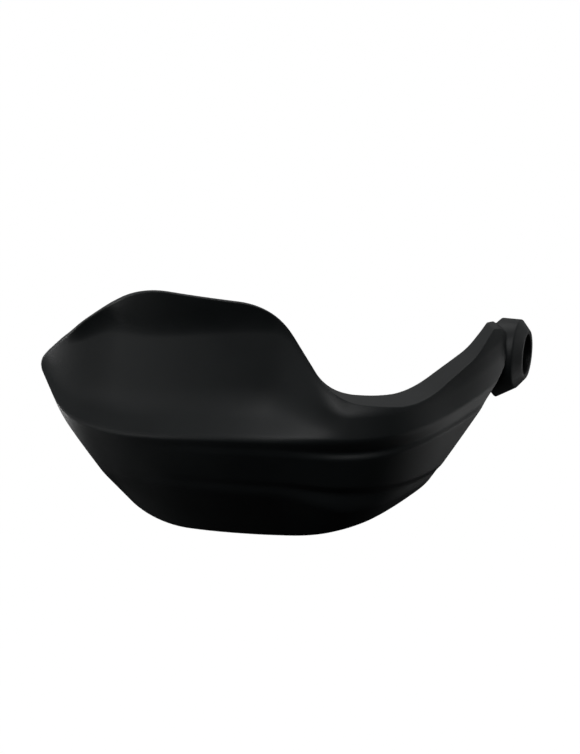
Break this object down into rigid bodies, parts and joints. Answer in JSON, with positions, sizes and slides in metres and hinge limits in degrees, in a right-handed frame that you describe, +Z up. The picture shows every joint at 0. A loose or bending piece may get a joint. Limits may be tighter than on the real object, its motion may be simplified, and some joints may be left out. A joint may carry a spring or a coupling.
{
  "type": "motorcycle hand guard",
  "caption": "One-piece moulded hand guard for the left handlebar end: tall flared panel, ridged and stepped hull, and an arm that curls back to a round bar-end eye.",
  "frame": {"origin": "on the axis of the bar-end bore, 14 mm in from the eye's outer face", "axes": "+X outward along the handlebar axis, -Y forward in the riding direction, +Z up"},
  "size_m": [0.2696, 0.1362, 0.1488],
  "materials": {
    "moulded_plastic": "black, fine moulded grain",
    "insert_brass": "turned brass"
  },
  "bodies": {
    "root": {"guard_shell": "moulded_plastic", "threaded_insert": "insert_brass"}
  },
  "joints": []
}
